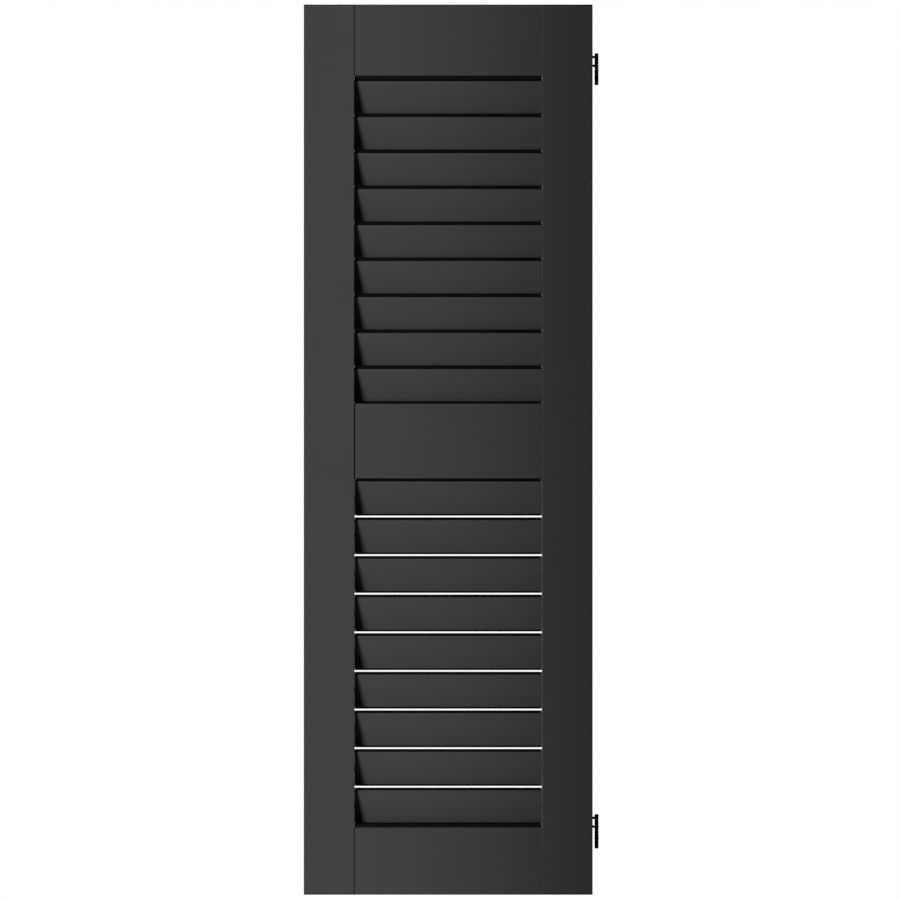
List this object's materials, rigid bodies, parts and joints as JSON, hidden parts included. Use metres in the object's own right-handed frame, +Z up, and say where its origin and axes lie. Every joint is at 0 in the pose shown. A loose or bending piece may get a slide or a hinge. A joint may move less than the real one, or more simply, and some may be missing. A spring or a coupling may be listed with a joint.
{
  "type": "louvred shutter leaf",
  "caption": "Aluminium window shutter leaf with fixed louvres above, linked tilting louvres below and drill-in pin hinges on one edge.",
  "frame": {"origin": "where the lower pintle's stem enters the wall, at the shoulder of its neck", "axes": "+Z up, +Y along the pintle stems into the wall, the hinge axis is vertical and 41.2 mm in front of the origin, the leaf lies on the -X side and its inner face looks along -Y"},
  "size_m": [0.4718, 0.1262, 1.424],
  "materials": {
    "anthracite_coat": "satin",
    "dark_nylon": "matte",
    "black_nylon": "matte",
    "seal_rubber": "matte",
    "bare_aluminium": "satin",
    "zinc_steel": "satin",
    "hinge_steel": "satin"
  },
  "bodies": {
    "hinge_fixings": {"top_hinge_pintle": "hinge_steel", "bottom_hinge_pintle": "hinge_steel", "hinge_washers": "black_nylon"},
    "leaf": {"left_stile": "anthracite_coat", "right_stile": "anthracite_coat", "top_rail": "anthracite_coat", "mid_rail": "anthracite_coat", "bottom_rail": "anthracite_coat", "stile_caps": "black_nylon", "clamp_plates": "bare_aluminium", "joint_screws": "zinc_steel", "screw_plugs": "black_nylon", "rail_seals": "seal_rubber", "left_holder_strip": "dark_nylon", "right_holder_strip": "dark_nylon", "left_bearing_strip": "dark_nylon", "right_bearing_strip": "dark_nylon", "upper_louvre_1": "anthracite_coat", "upper_louvre_2": "anthracite_coat", "upper_louvre_3": "anthracite_coat", "upper_louvre_4": "anthracite_coat", "upper_louvre_5": "anthracite_coat", "upper_louvre_6": "anthracite_coat", "upper_louvre_7": "anthracite_coat", "upper_louvre_8": "anthracite_coat", "upper_louvre_9": "anthracite_coat", "upper_seals": "seal_rubber", "top_hinge_eye": "hinge_steel", "bottom_hinge_eye": "hinge_steel", "hinge_anchors": "bare_aluminium"},
    "louvre_1": {"lower_louvre_1": "anthracite_coat", "louvre_seals_1": "seal_rubber", "louvre_pivots_1": "dark_nylon"},
    "louvre_2": {"lower_louvre_2": "anthracite_coat", "louvre_seals_2": "seal_rubber", "louvre_pivots_2": "dark_nylon"},
    "louvre_3": {"lower_louvre_3": "anthracite_coat", "louvre_seals_3": "seal_rubber", "louvre_pivots_3": "dark_nylon"},
    "louvre_4": {"lower_louvre_4": "anthracite_coat", "louvre_seals_4": "seal_rubber", "louvre_pivots_4": "dark_nylon"},
    "louvre_5": {"lower_louvre_5": "anthracite_coat", "louvre_seals_5": "seal_rubber", "louvre_pivots_5": "dark_nylon"},
    "louvre_6": {"lower_louvre_6": "anthracite_coat", "louvre_seals_6": "seal_rubber", "louvre_pivots_6": "dark_nylon"},
    "louvre_7": {"lower_louvre_7": "anthracite_coat", "louvre_seals_7": "seal_rubber", "louvre_pivots_7": "dark_nylon"},
    "louvre_8": {"lower_louvre_8": "anthracite_coat", "louvre_seals_8": "seal_rubber", "louvre_pivots_8": "dark_nylon"},
    "louvre_9": {"lower_louvre_9": "anthracite_coat", "louvre_seals_9": "seal_rubber", "louvre_pivots_9": "dark_nylon"},
    "link": {"tilt_link": "bare_aluminium"}
  },
  "joints": [
    {"name": "leaf_swing", "type": "hinge", "parent": "hinge_fixings", "child": "leaf", "pos_m": [0, -0.04117, 0], "axis": [0, 0, 1], "range_deg": [0, 180]},
    {"name": "louvre_tilt_1", "type": "hinge", "parent": "leaf", "child": "louvre_1", "pos_m": [-0.2373, -0.04117, 0.54593], "axis": [1, 0, 0], "range_deg": [-21, 66]},
    {"name": "louvre_tilt_2", "type": "hinge", "parent": "leaf", "child": "louvre_2", "pos_m": [-0.2373, -0.04117, 0.48417], "axis": [1, 0, 0], "range_deg": [-21, 66]},
    {"name": "louvre_tilt_3", "type": "hinge", "parent": "leaf", "child": "louvre_3", "pos_m": [-0.2373, -0.04117, 0.42241], "axis": [1, 0, 0], "range_deg": [-21, 66]},
    {"name": "louvre_tilt_4", "type": "hinge", "parent": "leaf", "child": "louvre_4", "pos_m": [-0.2373, -0.04117, 0.36066], "axis": [1, 0, 0], "range_deg": [-21, 66]},
    {"name": "louvre_tilt_5", "type": "hinge", "parent": "leaf", "child": "louvre_5", "pos_m": [-0.2373, -0.04117, 0.2989], "axis": [1, 0, 0], "range_deg": [-21, 66]},
    {"name": "louvre_tilt_6", "type": "hinge", "parent": "leaf", "child": "louvre_6", "pos_m": [-0.2373, -0.04117, 0.23714], "axis": [1, 0, 0], "range_deg": [-21, 66]},
    {"name": "louvre_tilt_7", "type": "hinge", "parent": "leaf", "child": "louvre_7", "pos_m": [-0.2373, -0.04117, 0.17539], "axis": [1, 0, 0], "range_deg": [-21, 66]},
    {"name": "louvre_tilt_8", "type": "hinge", "parent": "leaf", "child": "louvre_8", "pos_m": [-0.2373, -0.04117, 0.11363], "axis": [1, 0, 0], "range_deg": [-21, 66]},
    {"name": "louvre_tilt_9", "type": "hinge", "parent": "leaf", "child": "louvre_9", "pos_m": [-0.2373, -0.04117, 0.05187], "axis": [1, 0, 0], "range_deg": [-21, 66]},
    {"name": "link_swing", "type": "hinge", "parent": "louvre_5", "child": "link", "pos_m": [-0.39845, -0.05033, 0.2949], "axis": [1, 0, 0], "range_deg": [-66, 21]}
  ],
  "couplings": [
    {"joint": "louvre_tilt_1", "follows": "louvre_tilt_5", "ratio": 1},
    {"joint": "louvre_tilt_2", "follows": "louvre_tilt_5", "ratio": 1},
    {"joint": "louvre_tilt_3", "follows": "louvre_tilt_5", "ratio": 1},
    {"joint": "louvre_tilt_4", "follows": "louvre_tilt_5", "ratio": 1},
    {"joint": "louvre_tilt_6", "follows": "louvre_tilt_5", "ratio": 1},
    {"joint": "louvre_tilt_7", "follows": "louvre_tilt_5", "ratio": 1},
    {"joint": "louvre_tilt_8", "follows": "louvre_tilt_5", "ratio": 1},
    {"joint": "louvre_tilt_9", "follows": "louvre_tilt_5", "ratio": 1},
    {"joint": "link_swing", "follows": "louvre_tilt_5", "ratio": -1}
  ]
}
